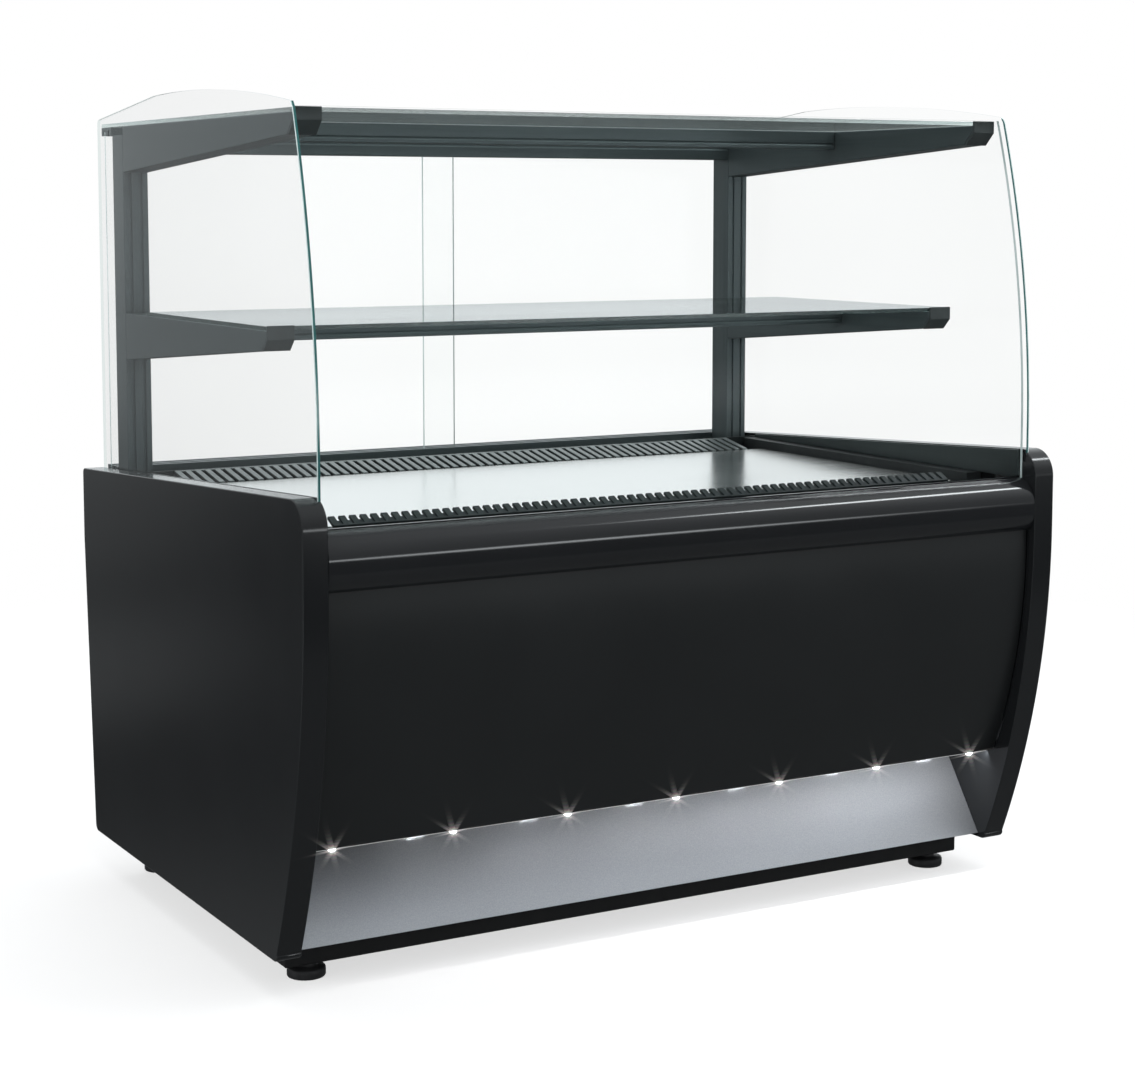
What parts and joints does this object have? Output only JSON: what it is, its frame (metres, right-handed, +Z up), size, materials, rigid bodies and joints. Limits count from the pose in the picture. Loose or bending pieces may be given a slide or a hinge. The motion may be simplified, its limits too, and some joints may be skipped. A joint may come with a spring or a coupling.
{
  "type": "refrigerated deli case",
  "caption": "Counter-height refrigerated deli case with a bent glass front, glass shelf and top, black side panels, a stainless deck and sliding rear glass doors.",
  "frame": {"origin": "on the floor, under the middle of the case's width and depth", "axes": "+X along the counter towards the customer's right, +Y from the customer to the staff side, +Z up"},
  "size_m": [1.31, 0.936, 1.2877],
  "materials": {
    "black_panel": "gloss",
    "black_plastic": "matte",
    "black_steel": "satin",
    "anodised": "satin anodised",
    "stainless": "satin",
    "silver_sheet": "satin",
    "grille": "satin anodised",
    "glass": "clear",
    "light": "frosted",
    "insulation": "matte",
    "fins": "mill",
    "painted_black": "satin",
    "copper": "plain",
    "zinc": "galvanised"
  },
  "bodies": {
    "case": {"base_frame": "black_steel", "bumper": "black_panel", "cable_gland": "black_plastic", "canopy_arm_left": "anodised", "canopy_arm_right": "anodised", "canopy_cap_left": "black_plastic", "canopy_cap_right": "black_plastic", "canopy_cross_tube": "anodised", "compressor": "painted_black", "condenser": "fins", "condenser_fan_shroud": "zinc", "control_panel": "black_plastic", "deck_tray": "stainless", "door_track_bottom": "anodised", "door_track_top": "anodised", "drain_pan": "black_plastic", "drain_pipe": "black_plastic", "evaporator": "fins", "evaporator_fan_plate": "zinc", "floor_pan": "zinc", "front_air_grille": "grille", "front_glass": "glass", "front_panel": "black_panel", "header_rail": "anodised", "inner_lining_left": "anodised", "inner_lining_right": "anodised", "insulated_well": "insulation", "kick_plate": "silver_sheet", "led_lens_strip": "light", "led_profile": "anodised", "post_left": "anodised", "post_right": "anodised", "rear_air_grille": "grille", "rear_panel": "painted_black", "rear_sill": "anodised", "shelf_arm_left": "anodised", "shelf_arm_right": "anodised", "shelf_cap_left": "black_plastic", "shelf_cap_right": "black_plastic", "shelf_cross_tube": "anodised", "shelf_glass": "glass", "side_glass_left": "glass", "side_glass_right": "glass", "side_panel_left": "black_panel", "side_panel_right": "black_panel", "suction_pipe": "copper", "top_glass": "glass", "well_rear_wall": "insulation"},
    "foot_front_left": {"foot_front_left": "black_plastic"},
    "foot_front_right": {"foot_front_right": "black_plastic"},
    "foot_rear_left": {"foot_rear_left": "black_plastic"},
    "foot_rear_right": {"foot_rear_right": "black_plastic"},
    "door_left": {"sliding_door_left": "glass"},
    "door_right": {"sliding_door_right": "glass"},
    "condenser_fan": {"condenser_fan": "painted_black"},
    "evaporator_fan_left": {"evaporator_fan_left": "painted_black"},
    "evaporator_fan_right": {"evaporator_fan_right": "painted_black"},
    "power_switch": {"power_switch": "black_plastic"},
    "light_switch": {"light_switch": "black_plastic"}
  },
  "joints": [
    {"name": "foot_front_left_thread", "type": "slide", "parent": "case", "child": "foot_front_left", "axis": [0, 0, -1], "range_m": [0, 0.02]},
    {"name": "foot_front_right_thread", "type": "slide", "parent": "case", "child": "foot_front_right", "axis": [0, 0, -1], "range_m": [0, 0.02]},
    {"name": "foot_rear_left_thread", "type": "slide", "parent": "case", "child": "foot_rear_left", "axis": [0, 0, -1], "range_m": [0, 0.02]},
    {"name": "foot_rear_right_thread", "type": "slide", "parent": "case", "child": "foot_rear_right", "axis": [0, 0, -1], "range_m": [0, 0.02]},
    {"name": "door_left_slide", "type": "slide", "parent": "case", "child": "door_left", "axis": [1, 0, 0], "range_m": [0, 0.574]},
    {"name": "door_right_slide", "type": "slide", "parent": "case", "child": "door_right", "axis": [-1, 0, 0], "range_m": [0, 0.574]},
    {"name": "condenser_fan_spin", "type": "hinge", "parent": "case", "child": "condenser_fan", "pos_m": [0.285, 0.187, 0.215], "axis": [0, 1, 0], "continuous": true},
    {"name": "evaporator_fan_left_spin", "type": "hinge", "parent": "case", "child": "evaporator_fan_left", "pos_m": [-0.26, -0.08, 0.545], "axis": [0, 1, 0], "continuous": true},
    {"name": "evaporator_fan_right_spin", "type": "hinge", "parent": "case", "child": "evaporator_fan_right", "pos_m": [0.26, -0.08, 0.545], "axis": [0, 1, 0], "continuous": true},
    {"name": "power_switch_rock", "type": "hinge", "parent": "case", "child": "power_switch", "pos_m": [0.48, 0.4243, 0.52], "axis": [1, 0, 0], "range_deg": [0, 10]},
    {"name": "light_switch_rock", "type": "hinge", "parent": "case", "child": "light_switch", "pos_m": [0.52, 0.4243, 0.52], "axis": [1, 0, 0], "range_deg": [0, 10]}
  ]
}
